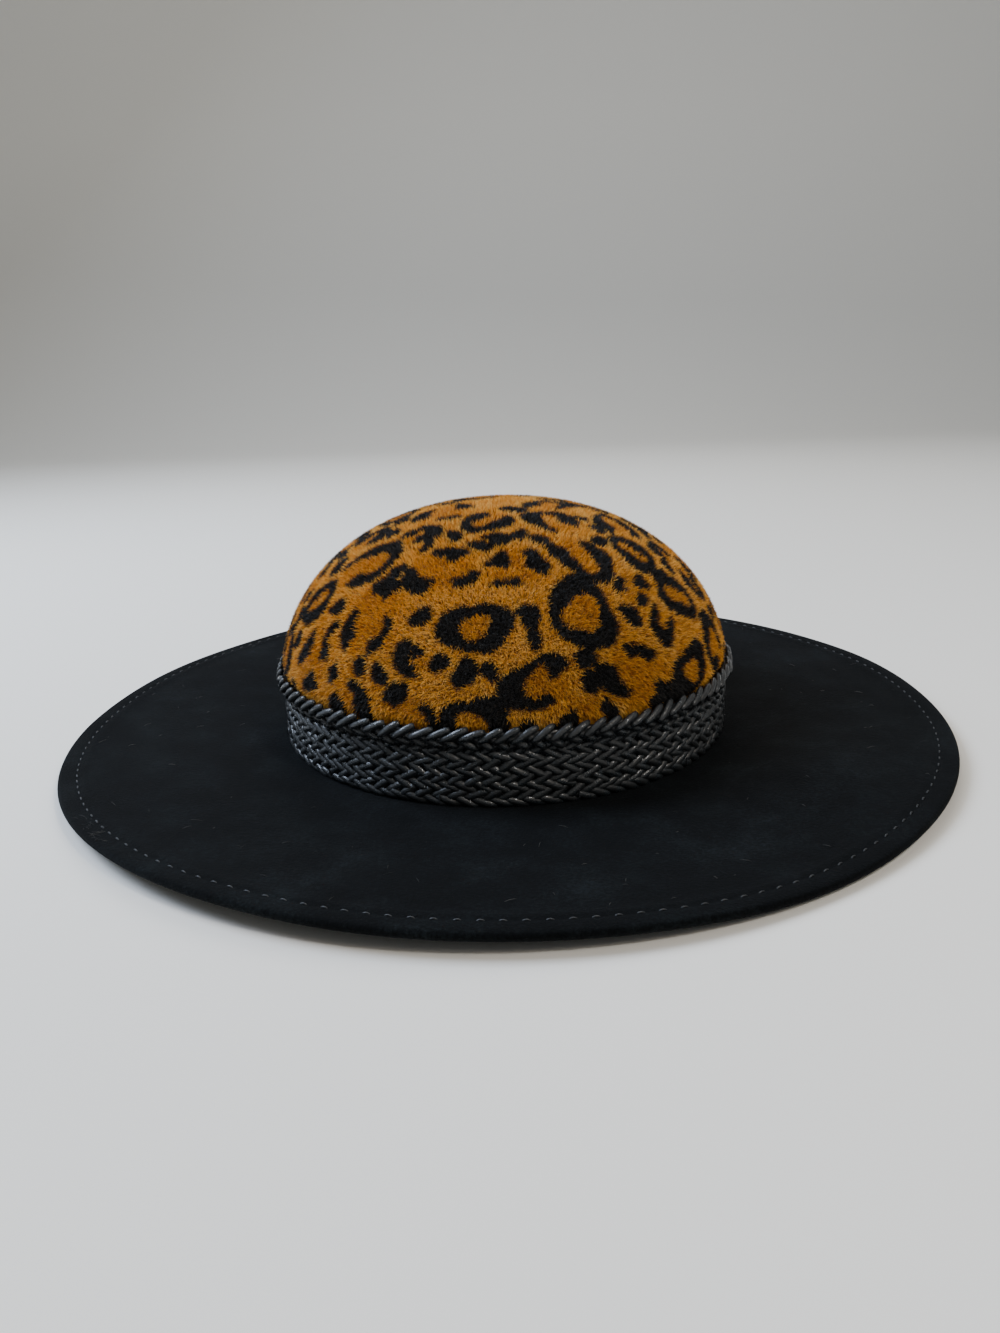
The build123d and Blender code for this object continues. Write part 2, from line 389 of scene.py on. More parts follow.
def threadMaterial(name, dark, light):
    # polyester sewing thread: two fine plies, a soft gloss
    material, tree, shader = newMaterial(name)
    place = addNode(tree, "ShaderNodeTexCoord").outputs["Object"]
    ply = addNode(tree, "ShaderNodeTexNoise", Vector=place, Scale=1 / (0.35 * mm), Detail=2.0)
    ramp = setRamp(addNode(tree, "ShaderNodeValToRGB", Fac=ply.outputs["Fac"]), [(0.35, srgb(dark)), (0.65, srgb(light))])
    tree.links.new(ramp.outputs["Color"], shader.inputs["Base Color"])
    bump = addNode(tree, "ShaderNodeBump", Strength=0.5, Distance=0.1 * mm, Height=ply.outputs["Fac"])
    tree.links.new(bump.outputs["Normal"], shader.inputs["Normal"])
    shader.inputs["Roughness"].default_value = 0.42
    return material


stitchThread = threadMaterial("polyesterThread", "1b1d1f", "34373a")
stitchSize = {"length": 2.6 * mm, "radius": 0.26 * mm, "sink": 0.12 * mm}


def makeHemStitches():
    half, radius = stitchSize["length"] / 2, stitchSize["radius"]
    bow = [Vector((half * t, 0, radius * (1.3 - 2.2 * t * t))) for t in (-1, -0.7, -0.35, 0, 0.35, 0.7, 1)]
    single = tubeMesh("stitchSingle", bow, [radius * s for s in (0.6, 0.9, 1, 1, 1, 0.9, 0.6)], 6)
    places = []
    for i in range(hemStitchCount):
        turn = 2 * math.pi * (i + 0.5) / hemStitchCount
        here = brimPoint(turn, brimSize["stitchInset"], -brimSize["pucker"])
        ahead = brimPoint(turn + 0.01, brimSize["stitchInset"], -brimSize["pucker"])
        places.append((here, facingFrom((ahead - here).normalized(), Vector((0, 0, 1))), (1.0, 1.0, 1.0)))
    carrier = placesObject("stitchPlaces", places)
    made = runTree(carrier, setPieces, "hem_thread", Piece=single, Finish=stitchThread, Wobble=0.12, Seed=3)
    dropObjects(carrier, single)
    return made


finishPiece(makeHemStitches(), "thread", stitchThread, "hem_stitches")
print("hem stitched")


lintSize = {
    "length": 2.8 * mm, "radius": 0.04 * mm, "count": 120, "seed": 19,
    "tuftTurn": -140, "tuftSpread": 2.2, "tuftCount": 34,       # the worn place at the edge, in degrees
}


def lintMaterial():
    # loose wool and dust: pale dry fibres that catch the light against the black
    material, tree, shader = newMaterial("looseLint")
    place = addNode(tree, "ShaderNodeTexCoord").outputs["Object"]
    shade = addNode(tree, "ShaderNodeTexNoise", Vector=place, Scale=1 / (12 * mm))
    ramp = setRamp(addNode(tree, "ShaderNodeValToRGB", Fac=shade.outputs["Fac"]),
                   [(0.38, srgb("202223")), (0.62, srgb("77746e"))])
    tree.links.new(ramp.outputs["Color"], shader.inputs["Base Color"])
    shader.inputs["Roughness"].default_value = 0.9
    return material


def makeLint():
    # fibres lie anyhow on the upper face, with a small crowd where the edge is worn
    dice = random.Random(lintSize["seed"])
    half, radius = lintSize["length"] / 2, lintSize["radius"]
    bow = [Vector((half * t, 0, radius * (1 + 6 * (1 - t * t)))) for t in (-1, -0.3, 0.4, 1)]
    single = tubeMesh("lintSingle", bow, [radius * share for share in (0.5, 1, 1, 0.5)], 4)
    places = []
    for i in range(lintSize["count"] + lintSize["tuftCount"]):
        if i < lintSize["count"]:
            turn = dice.uniform(-math.pi, math.pi)
            inset = dice.triangular(2, 80, 20) * mm
        else:
            turn = math.radians(dice.gauss(lintSize["tuftTurn"], lintSize["tuftSpread"]))
            inset = dice.uniform(1.5, 7) * mm
        heading = dice.uniform(0, 2 * math.pi)
        along = Vector((math.cos(heading), math.sin(heading), 0))
        longer = dice.uniform(0.12, 1.5)
        places.append((brimPoint(turn, inset, 0.05 * mm), facingFrom(along, Vector((0, 0, 1))), (longer, 1.0, 1.0)))
    carrier = placesObject("lintPlaces", places)
    made = runTree(carrier, setPieces, "brim_lint", Piece=single, Finish=looseLint, Wobble=0.15, Seed=9)
    dropObjects(carrier, single)
    return made


looseLint = lintMaterial()
finishPiece(makeLint(), "brim_felt", looseLint)
print("lint laid")


crownSize = {
    "pile": 3.3 * mm, "felt": 2.2 * mm, "fullness": 2.15, "domeLevel": 18.5 * mm,
    "swellLow": -3.0 * mm, "swellHigh": 3.2 * mm, "pinch": 4.6 * mm, "turns": 420, "rows": 170,
}
domeHalf = (crownHigh.x, crownHigh.y)
domeFoot = brimTop + crownSize["domeLevel"]


def domePoint(turn, climb, inward):
    # climb runs from 0 at the dome's foot to 1 at its top
    angle = climb * math.pi / 2
    power = 2 / crownSize["fullness"]
    across, up = math.cos(angle) ** power if climb < 1 else 0.0, math.sin(angle) ** power if climb > 0 else 0.0
    z = domeFoot + (crownHigh.z - inward - domeFoot) * up
    pinched = crownSize["pinch"] * (1 - smooth(bandHigh.z + crownSize["swellLow"], bandHigh.z + crownSize["swellHigh"], z))
    x, y = ovalPoint(domeHalf, turn, -inward)
    shrink = 1 - pinched / math.hypot(x, y)
    return Vector((x * across * shrink, y * across * shrink, z))


# the print: rings, cups, broken rings and blobs in black, scattered by size
spotPrint = {
    "stroke": 6.8 * mm, "edgeWander": 1.3 * mm, "seed": 41, "clear": -0.6 * mm,
    # smallest and largest mark in mm, and how many places are tried, with the largest marks first
    "marks": ((22, 30, 6000), (14, 19, 6000), (7, 11, 9000)),
}


def domeSpot(degrees, level):
    # the point of the crown's surface at that place
    low, high = 0.0, 1.0
    turn = math.radians(degrees - 90)
    for _ in range(30):
        middle = (low + high) / 2
        if domePoint(turn, middle, 0).z < brimTop + level:
            low = middle
        else:
            high = middle
    return domePoint(turn, low, 0)


def layPrint():
    # marks are scattered over the whole crown from one seed, each kept clear of the others
    dice = random.Random(spotPrint["seed"])
    spots = []
    for low, high, tries in spotPrint["marks"]:
        for _ in range(tries):
            place = domeSpot(dice.uniform(0, 360), dice.triangular(22, 93.5, 90) * mm)
            size = dice.uniform(low, high) * mm
            reach = [0.5 * (size + grown) + spotPrint["clear"] for _, grown, _, _ in spots]
            if all((place - spot[0]).length > gap for spot, gap in zip(spots, reach)):
                kind = "blob" if high < 12 else dice.choice(("ring", "cup", "cup", "bars"))
                spots.append((place, size, dice.uniform(0, 2 * math.pi), kind))
    return spots


def strokeDistance(u, v, size, kind, dice):
    # signed distance to the strokes of one spot, negative inside them
    angle = np.arctan2(v, u)
    radius = np.hypot(u, v)
    half = spotPrint["stroke"] / 2
    wobble = 1 + 0.12 * np.sin(2 * angle + dice.uniform(0, 6)) + 0.08 * np.sin(3 * angle + dice.uniform(0, 6))
    if kind == "blob":
        return radius - 0.5 * size * wobble
    ring = max(size / 2 - half, 0.6 * half) * wobble
    width = half * (1 + 0.35 * np.sin(2 * angle + dice.uniform(0, 6)))
    away = np.abs(radius - ring) - width
    gaps = {"ring": (0.0, 1), "cup": (0.55, 1), "bars": (0.42, 3)}[kind]
    opening, count = gaps
    if opening:
        first = dice.uniform(-0.4, 0.4)
        for k in range(count):
            middle = first + 2 * math.pi * k / count + dice.uniform(-0.3, 0.3)
            off = np.abs((angle - middle + math.pi) % (2 * math.pi) - math.pi)
            away = np.maximum(away, (opening - off) * ring)
    return away


def printField(points):
    # for each point: 1 in a black stroke and 0 outside, and how far inside a ring it lies
    dice = random.Random(spotPrint["seed"] + 1)
    wander = np.array([noise.noise_vector(Vector(p) / (7 * mm)) * spotPrint["edgeWander"]
                       + noise.noise_vector(Vector(p) / (2.6 * mm)) * 0.45 * mm for p in points])
    moved = points + wander
    black = np.full(len(points), 9.0)
    warm = np.zeros(len(points))
    for place, size, tilt, kind in layPrint():
        near = np.where(((moved - np.array(place)) ** 2).sum(1) < (0.75 * size + 4 * mm) ** 2)[0]
        outward = Vector((place.x, place.y, max(place.z - domeFoot, 0) * 1.2)).normalized()
        flat = Vector((0, 0, 1)) if abs(outward.z) < 0.95 else Vector((0, 1, 0))
        right = flat.cross(outward).normalized()
        up = outward.cross(right)
        local = moved[near] - np.array(place)
        u0, v0 = local @ np.array(right), local @ np.array(up)
        u = u0 * math.cos(tilt) + v0 * math.sin(tilt)
        v = (-u0 * math.sin(tilt) + v0 * math.cos(tilt)) * 1.18
        away = strokeDistance(u, v, size, kind, dice)
        black[near] = np.minimum(black[near], away)
        if kind != "blob":
            inside = np.clip((size / 2 - np.hypot(u, v)) / (3 * mm), 0, 1)
            warm[near] = np.maximum(warm[near], inside)
    return black, warm


def makeCrownSkin():
    turns, rows = crownSize["turns"], crownSize["rows"]
    pile, felt = crownSize["pile"], crownSize["felt"]
    points, faces = [], []
    for i in range(rows):
        climb = i / rows
        for j in range(turns):
            points.append(domePoint(2 * math.pi * j / turns, climb, pile))
    top = len(points)
    points.append(Vector((0, 0, crownHigh.z - pile)))
    for i in range(rows - 1):
        for j in range(turns):
            k = (j + 1) % turns
            faces.append((i * turns + j, i * turns + k, (i + 1) * turns + k, (i + 1) * turns + j))
    for j in range(turns):
        faces.append(((rows - 1) * turns + j, (rows - 1) * turns + (j + 1) % turns, top))
    outer = meshObject("furGround", points, faces)
    black, warm = printField(np.array([tuple(p) for p in points]))
    for label, values in (("black", black / mm), ("warm", warm)):
        layer = outer.data.attributes.new(label, "FLOAT", "POINT")
        layer.data.foreach_set("value", values.astype(np.float32))
    # the closed felt body: outside, foot and hollow
    body = bmesh.new()
    bodyTurns = 240

    def ring(maker):
        return [body.verts.new(maker(2 * math.pi * j / bodyTurns)) for j in range(bodyTurns)]
    footLevel = brimTop + 0.3 * mm
    rings = [ring(lambda t: (*(Vector(domePoint(t, 0, pile)).xy), footLevel))]
    climbs = [i / 90 for i in range(90)]
    rings += [ring(lambda t, c=c: domePoint(t, c, pile)) for c in climbs]
    outerTop = body.verts.new((0, 0, crownHigh.z - pile))
    inward = pile + felt
    innerRings = [ring(lambda t, c=c: domePoint(t, c, inward)) for c in reversed(climbs)]
    innerTop = body.verts.new((0, 0, crownHigh.z - inward))
    innerRings.append(ring(lambda t: (*(Vector(domePoint(t, 0, inward)).xy), footLevel)))
    for a, b in list(zip(rings, rings[1:])) + list(zip(innerRings, innerRings[1:])) + [(innerRings[-1], rings[0])]:
        for j in range(bodyTurns):
            k = (j + 1) % bodyTurns
            body.faces.new((a[j], a[k], b[k], b[j]))
    for j in range(bodyTurns):
        k = (j + 1) % bodyTurns
        body.faces.new((rings[-1][j], rings[-1][k], outerTop))
        body.faces.new((innerRings[0][j], innerRings[0][k], innerTop))
    bmesh.ops.recalc_face_normals(body, faces=body.faces)
    mesh = bpy.data.meshes.new("crown_felt_body")
    body.to_mesh(mesh)
    body.free()
    for face in mesh.polygons:
        face.use_smooth = True
    skin = bpy.data.objects.new("crown_felt_body", mesh)
    scene.collection.objects.link(skin)
    places = np.array([tuple(v.co) for v in mesh.vertices])
    black = printField(places)[0]
    black[len(rings) * bodyTurns + 1:] = -mm        # the print is on the outside only, and the inside is plain and dark
    layer = mesh.attributes.new("black", "FLOAT", "POINT")
    layer.data.foreach_set("value", (black / mm).astype(np.float32))
    return outer, skin


def crownFeltMaterial():
    # the felt under the pile: dark between the hairs as painted shade, with the print soaked into it
    material, tree, shader = newMaterial("printedFeltBaseInPaintedShade")
    place = addNode(tree, "ShaderNodeTexCoord").outputs["Object"]
    grain = addNode(tree, "ShaderNodeTexNoise", Vector=place, Scale=1 / (1.5 * mm), Detail=3.0)
    # darker than the hairs' amber: painted shade where the felt shows between the hairs
    amber = setRamp(addNode(tree, "ShaderNodeValToRGB", Fac=grain.outputs["Fac"]),
                    [(0.3, srgb("7a4e12")), (0.7, srgb("a87020"))])
    black = addNode(tree, "ShaderNodeAttribute", {"attribute_name": "black"})
    step = addNode(tree, "ShaderNodeMapRange", Value=black.outputs["Fac"], i1=-0.3, i2=0.4)
    colour = addNode(tree, "ShaderNodeMix", {"data_type": "RGBA"}, i0=step.outputs[0], i6=srgb("0d0b0a"), i7=amber.outputs["Color"])
    tree.links.new(colour.outputs[2], shader.inputs["Base Color"])
    bump = addNode(tree, "ShaderNodeBump", Strength=0.5, Distance=0.4 * mm, Height=grain.outputs["Fac"])
    tree.links.new(bump.outputs["Normal"], shader.inputs["Normal"])
    shader.inputs["Roughness"].default_value = 0.9
    return material


furGround, crownSkin = makeCrownSkin()
finishPiece(crownSkin, "crown_felt", crownFeltMaterial(), "crown")
print("crown body made")


pileSize = {"length": 3.0 * mm, "width": 0.3 * mm, "perSquareMetre": 1.15e6, "tufts": 6, "lean": 0.36, "stray": 0.15}


def hairBlade():
    # one bent hair, a metre tall and wide before it is sized
    points = [(-0.5, 0, 0), (0.5, 0, 0), (-0.42, 0.16, 0.55), (0.42, 0.16, 0.55), (0, 0.42, 0.95)]
    mesh = bpy.data.meshes.new("hairBlade")
    mesh.from_pydata(points, [], [(0, 1, 3, 2), (2, 3, 4)])
    for label, values in (("rise", (0, 0, 0.55, 0.55, 1)), ("side", (-1, 1, -1, 1, 0))):
        layer = mesh.attributes.new(label, "FLOAT", "POINT")
        layer.data.foreach_set("value", values)
    blade = bpy.data.objects.new("hairBlade", mesh)
    scene.collection.objects.link(blade)
    return blade


def furTree():
    tree = bpy.data.node_groups.new("growPile", "GeometryNodeTree")
    face = tree.interface
    for label, kind in (("Ground", "Geometry"), ("Hair", "Object"), ("Finish", "Material"), ("Density", "Float"),
                        ("Length", "Float"), ("Width", "Float"), ("Lean", "Float"), ("Stray", "Float"), ("Seed", "Int")):
        face.new_socket(label, in_out="INPUT", socket_type="NodeSocket" + kind)
    face.new_socket("Pile", in_out="OUTPUT", socket_type="NodeSocketGeometry")
    source = addNode(tree, "NodeGroupInput")
    out = source.outputs
    sown = addNode(tree, "GeometryNodeDistributePointsOnFaces", Mesh=out["Ground"], Density=out["Density"], Seed=out["Seed"])
    black = addNode(tree, "GeometryNodeInputNamedAttribute", {"data_type": "FLOAT"}, Name="black")
    warm = addNode(tree, "GeometryNodeInputNamedAttribute", {"data_type": "FLOAT"}, Name="warm")
    place = addNode(tree, "GeometryNodeInputPosition")

    # each random value has its own seed, counted on from the tree's
    rolls = {}
    for step, (label, low, high) in enumerate((("edge", -0.3, 0.3), ("amber", 0.04, 0.24), ("dark", 0.53, 0.97),
                                               ("spin", 0.0, 2 * math.pi), ("length", 0.72, 1.12)), 11):
        seed = addNode(tree, "ShaderNodeMath", {"operation": "ADD"}, i0=out["Seed"], i1=float(step))
        rolls[label] = addNode(tree, "FunctionNodeRandomValue", {"data_type": "FLOAT"}, i2=low, i3=high,
                               Seed=seed.outputs[0]).outputs[1]
    # tone is the hair's place in the colour chart: amber below a half, black above
    edge = addNode(tree, "ShaderNodeMath", {"operation": "ADD"}, i0=black.outputs[0], i1=rolls["edge"])
    isBlack = addNode(tree, "ShaderNodeMath", {"operation": "LESS_THAN"}, i0=edge.outputs[0], i1=0.0)
    patch = addNode(tree, "ShaderNodeTexNoise", Vector=place.outputs[0], Scale=1 / (9 * mm), Detail=2.0)
    patched = addNode(tree, "ShaderNodeMath", {"operation": "MULTIPLY_ADD"}, i0=patch.outputs[0], i1=0.24, i2=rolls["amber"])
    warmed = addNode(tree, "ShaderNodeMath", {"operation": "MULTIPLY_ADD"}, i0=warm.outputs[0], i1=-0.12,
                     i2=patched.outputs[0])
    raised = addNode(tree, "ShaderNodeMath", {"operation": "MAXIMUM"}, i0=warmed.outputs[0], i1=0.02)
    amber = addNode(tree, "ShaderNodeMath", {"operation": "MINIMUM"}, i0=raised.outputs[0], i1=0.47)
    tone = addNode(tree, "GeometryNodeSwitch", {"input_type": "FLOAT"}, Switch=isBlack.outputs[0],
                   **{"False": amber.outputs[0], "True": rolls["dark"]})
    toned = addNode(tree, "GeometryNodeStoreNamedAttribute", {"data_type": "FLOAT", "domain": "POINT"},
                    Geometry=sown.outputs["Points"], Name="tone", Value=tone.outputs[0])
    # hairs stand out of the felt and lean down the crown, with a slow swirl
    swirl = addNode(tree, "ShaderNodeTexNoise", Vector=place.outputs[0], Scale=1 / (16 * mm), Detail=1.0)
    clump = addNode(tree, "ShaderNodeTexNoise", Vector=place.outputs[0], Scale=1 / (2.4 * mm), Detail=1.0)
    centred = addNode(tree, "ShaderNodeVectorMath", {"operation": "SUBTRACT"}, i0=swirl.outputs["Color"], i1=(0.5, 0.5, 0.5))
    tight = addNode(tree, "ShaderNodeVectorMath", {"operation": "SUBTRACT"}, i0=clump.outputs["Color"], i1=(0.5, 0.5, 0.5))
    down = addNode(tree, "ShaderNodeVectorMath", {"operation": "MULTIPLY_ADD"}, i0=centred.outputs[0], i1=(1.3, 1.3, 1.3), i2=(0.0, 0.0, -0.75))
    down = addNode(tree, "ShaderNodeVectorMath", {"operation": "MULTIPLY_ADD"}, i0=tight.outputs[0], i1=(0.9, 0.9, 0.9), i2=down.outputs[0])
    stray = addNode(tree, "FunctionNodeRandomValue", {"data_type": "FLOAT_VECTOR"}, i0=(-1, -1, -1), i1=(1, 1, 1), Seed=out["Seed"])
    strayed = addNode(tree, "ShaderNodeVectorMath", {"operation": "SCALE"}, i0=stray.outputs[0], Scale=out["Stray"])
    leant = addNode(tree, "ShaderNodeVectorMath", {"operation": "SCALE"}, i0=down.outputs[0], Scale=out["Lean"])
    way = addNode(tree, "ShaderNodeVectorMath", {"operation": "ADD"}, i0=sown.outputs["Normal"], i1=leant.outputs[0])
    way = addNode(tree, "ShaderNodeVectorMath", {"operation": "ADD"}, i0=way.outputs[0], i1=strayed.outputs[0])
    stood = addNode(tree, "FunctionNodeAlignRotationToVector", {"axis": "Z"}, Vector=way.outputs[0])
    spin = addNode(tree, "ShaderNodeCombineXYZ", Z=rolls["spin"])
    turned = addNode(tree, "FunctionNodeRotateRotation", {"rotation_space": "LOCAL"}, i0=stood.outputs[0],
                     i1=addNode(tree, "FunctionNodeEulerToRotation", i0=spin.outputs[0]).outputs[0])
    longer = addNode(tree, "ShaderNodeMath", {"operation": "MULTIPLY"}, i0=out["Length"], i1=rolls["length"]).outputs[0]
    size = addNode(tree, "ShaderNodeCombineXYZ", X=out["Width"], Y=longer, Z=longer)
    hair = addNode(tree, "GeometryNodeObjectInfo", Object=out["Hair"])
    laid = addNode(tree, "GeometryNodeInstanceOnPoints", Points=toned.outputs[0], Instance=hair.outputs["Geometry"],
                   Rotation=turned.outputs[0], Scale=size.outputs[0])
    real = addNode(tree, "GeometryNodeRealizeInstances", Geometry=laid.outputs[0])
    toneBack = addNode(tree, "GeometryNodeInputNamedAttribute", {"data_type": "FLOAT"}, Name="tone")
    side = addNode(tree, "GeometryNodeInputNamedAttribute", {"data_type": "FLOAT"}, Name="side")
    rise = addNode(tree, "GeometryNodeInputNamedAttribute", {"data_type": "FLOAT"}, Name="rise")
    across = addNode(tree, "ShaderNodeMath", {"operation": "MULTIPLY_ADD"}, i0=side.outputs[0], i1=0.006, i2=toneBack.outputs[0])
    # the chart's second place is the height along each hair, which the pile material turns into painted shade at the
    # root
    upward = addNode(tree, "ShaderNodeMath", {"operation": "MULTIPLY_ADD"}, i0=rise.outputs[0], i1=0.96, i2=0.02)
    chart = addNode(tree, "ShaderNodeCombineXYZ", X=across.outputs[0], Y=upward.outputs[0])
    mapped = addNode(tree, "GeometryNodeStoreNamedAttribute", {"data_type": "FLOAT2", "domain": "CORNER"},
                     Geometry=real.outputs[0], Name="OFBake", Value=chart.outputs[0])
    done = addNode(tree, "GeometryNodeSetMaterial", Geometry=mapped.outputs[0], Material=out["Finish"])
    addNode(tree, "NodeGroupOutput", Pile=done.outputs[0])
    return tree


def pileMaterial():
    # dyed fur-felt pile: amber and black hairs; the amber ones darker at the root as painted shade among the hairs,
    # straw-pale at the free end as painted light through the fibre ends
    material, tree, shader = newMaterial("dyedPilePaintedRootShade")
    chart = addNode(tree, "ShaderNodeUVMap", {"uv_map": "OFBake"})
    parts = addNode(tree, "ShaderNodeSeparateXYZ", Vector=chart.outputs[0])
    amber = setRamp(addNode(tree, "ShaderNodeValToRGB", Fac=parts.outputs["X"]),
                    [(0.02, srgb("c27c16")), (0.16, srgb("e8a22a")), (0.30, srgb("f5ba48")), (0.47, srgb("fcd688"))])
    black = setRamp(addNode(tree, "ShaderNodeValToRGB", Fac=parts.outputs["X"]),
                    [(0.53, srgb("080707")), (0.85, srgb("141210")), (0.97, srgb("241d17"))])
    isBlack = addNode(tree, "ShaderNodeMath", {"operation": "GREATER_THAN"}, i0=parts.outputs["X"], i1=0.5)
    # painted shade at the roots of the amber hairs, fading to the hair's own colour along its length
    paintedRootShade = addNode(tree, "ShaderNodeMapRange", Value=parts.outputs["Y"], i1=0.0, i2=0.9)
    shade = addNode(tree, "ShaderNodeMix", {"data_type": "RGBA"}, i0=paintedRootShade.outputs[0], i6=srgb("a8691c"), i7=amber.outputs["Color"])
    colour = addNode(tree, "ShaderNodeMix", {"data_type": "RGBA"}, i0=isBlack.outputs[0], i6=shade.outputs[2], i7=black.outputs["Color"])
    tree.links.new(colour.outputs[2], shader.inputs["Base Color"])
    shader.inputs["Roughness"].default_value = 0.62
    shader.inputs["Specular IOR Level"].default_value = 0.35
    shader.inputs["Sheen Weight"].default_value = 0.15
    shader.inputs["Sheen Roughness"].default_value = 0.4
    return material


def growPile():
    # the pile grows only above the band
    ground = bmesh.new()
    ground.from_mesh(furGround.data)
    low = [f for f in ground.faces if f.calc_center_median().z < bandHigh.z - 1.2 * mm]
    bmesh.ops.delete(ground, geom=low, context="FACES")
    ground.to_mesh(furGround.data)
    ground.free()
    blade = hairBlade()
    tree = furTree()
    finish = pileMaterial()
    density = pileSize["perSquareMetre"] * 1.0
    for k in range(pileSize["tufts"]):
        tuft = runTree(furGround, tree, "crown_pile_" + "abcdef"[k], Hair=blade, Finish=finish, Density=density,
                       Length=pileSize["length"], Width=pileSize["width"] * 1.0,
                       Lean=pileSize["lean"], Stray=pileSize["stray"], Seed=100 + k)
        print("pile", k, len(tuft.data.polygons), "faces")
        finishPiece(tuft, "crown_felt", None)
    dropObjects(blade, furGround)


growPile()
print("pile grown")


bandSize = {
    "rows": 10, "perRow": 98, "cord": 1.6 * mm, "legLength": 9.4 * mm, "tilt": 16, "flare": 2.7 * mm, "backing": 1.4 * mm,
    "edgeTilt": 19, "footShare": 0.4, "bow": 0.8 * mm, "sink": 1.0 * mm,
}
bandHalf = (bandHigh.x, bandHigh.y)             # outside of the top row


def bandFlare(row):
    return bandSize["flare"] * (1 - smooth(bandSize["rows"] - 3.2, bandSize["rows"] - 0.9, row))


def legMesh(name, sink, bulge):
    # one leg of a stitch: an S-shaped cord that dives under its neighbours at both ends
    half, rings = bandSize["legLength"] / 2, 9
    path, radii = [], []
    for i in range(rings):
        t = -1 + 2 * i / (rings - 1)
        path.append(Vector((half * t, bandSize["bow"] * math.sin(math.pi * t / 2) * bulge, -sink * abs(t) ** 2.4)))
        radii.append(bandSize["cord"] * (1.0 - 0.3 * t ** 4))
    return tubeMesh(name, path, radii, 6)


def cordMaterial():
    # waxed cotton cord: near black, hard wax gloss that breaks into small sharp lights
    material, tree, shader = newMaterial("waxedCord")
    place = addNode(tree, "ShaderNodeTexCoord").outputs["Object"]
    patch = addNode(tree, "ShaderNodeTexNoise", Vector=place, Scale=1 / (2.2 * mm), Detail=3.0)
    fine = addNode(tree, "ShaderNodeTexNoise", Vector=place, Scale=1 / (0.5 * mm), Detail=3.0)
    ramp = setRamp(addNode(tree, "ShaderNodeValToRGB", Fac=patch.outputs["Fac"]),
                   [(0.32, srgb("0c0e0f")), (0.55, srgb("171b1d")), (0.72, srgb("2a2f33"))])
    tree.links.new(ramp.outputs["Color"], shader.inputs["Base Color"])
    rough = addNode(tree, "ShaderNodeMapRange", Value=patch.outputs["Fac"], i1=0.5, i2=0.62, i3=0.56, i4=0.18)
    tree.links.new(rough.outputs[0], shader.inputs["Roughness"])
    bump = addNode(tree, "ShaderNodeBump", Strength=0.85, Distance=0.3 * mm, Height=fine.outputs["Fac"])
    tree.links.new(bump.outputs["Normal"], shader.inputs["Normal"])
    shader.inputs["Specular IOR Level"].default_value = 0.6
    shader.inputs["Coat Weight"].default_value = 0.3
    shader.inputs["Coat Roughness"].default_value = 0.1
    return material


waxedCord = cordMaterial()


def makeBand():
    rows, perRow = bandSize["rows"], bandSize["perRow"]
    step = (bandHigh.z - bandLow.z) / rows
    dice = random.Random(7)
    pieces = []
    for leaning, label in ((1, "band_cord_rising"), (-1, "band_cord_falling"), (0, "band_cord_edge")):
        places = []
        for row in range(rows):
            edgeRow = row == rows - 1
            if edgeRow != (leaning == 0):
                continue
            if not edgeRow and (1 if row % 2 else -1) != leaning:
                continue
            count = perRow
            for k in range(count):
                turn = 2 * math.pi * (k + (0.5 if row % 2 else 0.0) + dice.uniform(-0.06, 0.06)) / count
                grow = -bandFlare(row) - bandSize["cord"] * 1.25
                x, y = ovalPoint(bandHalf, turn, grow)
                z = bandLow.z + step * (row + 0.5) + dice.uniform(-0.15, 0.15) * mm
                outward = ovalOutward(bandHalf, turn)
                if edgeRow:
                    z -= 0.1 * mm
                    outward = (outward + Vector((0, 0, 0.2))).normalized()
                elif row == 0:
                    outward = (outward + Vector((0, 0, -0.25))).normalized()
                round_ = Vector((-outward.y, outward.x, 0)).normalized()
                slope = leaning * bandSize["tilt"] if leaning else bandSize["edgeTilt"]
                if row == 0:
                    slope *= bandSize["footShare"]      # the lowest row lies flatter, clear of the brim's underside
                tilt = math.radians(slope + dice.uniform(-6, 6) * (bandSize["footShare"] if row == 0 else 1))
                upward = outward.cross(round_)
                along = round_ * math.cos(tilt) + upward * math.sin(tilt)
                fat = 0.88 if edgeRow else dice.uniform(0.93, 1.08)
                places.append((Vector((x, y, z)), facingFrom(along, outward), (dice.uniform(0.94, 1.06), fat, 0.8 * fat)))
        carrier = placesObject(label + "Places", places)
        leg = legMesh(label + "Leg", bandSize["sink"], 1.0 if leaning >= 0 else -1.0)
        made = runTree(carrier, setPieces, label, Piece=leg, Finish=waxedCord, Wobble=0.11, Seed=5)
        dropObjects(carrier, leg)
        pieces.append(made)
    sections = []
    for i in range(240):
        turn = 2 * math.pi * i / 240
        section = []
        for row in (0.1, 2, 4, 6, 7, 8, 9, 9.6):
            x, y = ovalPoint(bandHalf, turn, -bandFlare(row) - bandSize["cord"] * 2.0)
            section.append(Vector((x, y, bandLow.z + step * row)))
        for row in (9.6, 9, 8, 7, 6, 4, 2, 0.1):
            x, y = ovalPoint(bandHalf, turn, -bandFlare(row) - bandSize["cord"] * 2.0 - bandSize["backing"])
            section.append(Vector((x, y, bandLow.z + step * row)))
        sections.append(section)
    pieces.append(ringObject("band_backing", sections))
    return pieces


for piece in makeBand():
    finishPiece(piece, "band_cord", waxedCord, "hat_band")
    print(piece.name, len(piece.data.polygons), "faces")
print("band knitted")


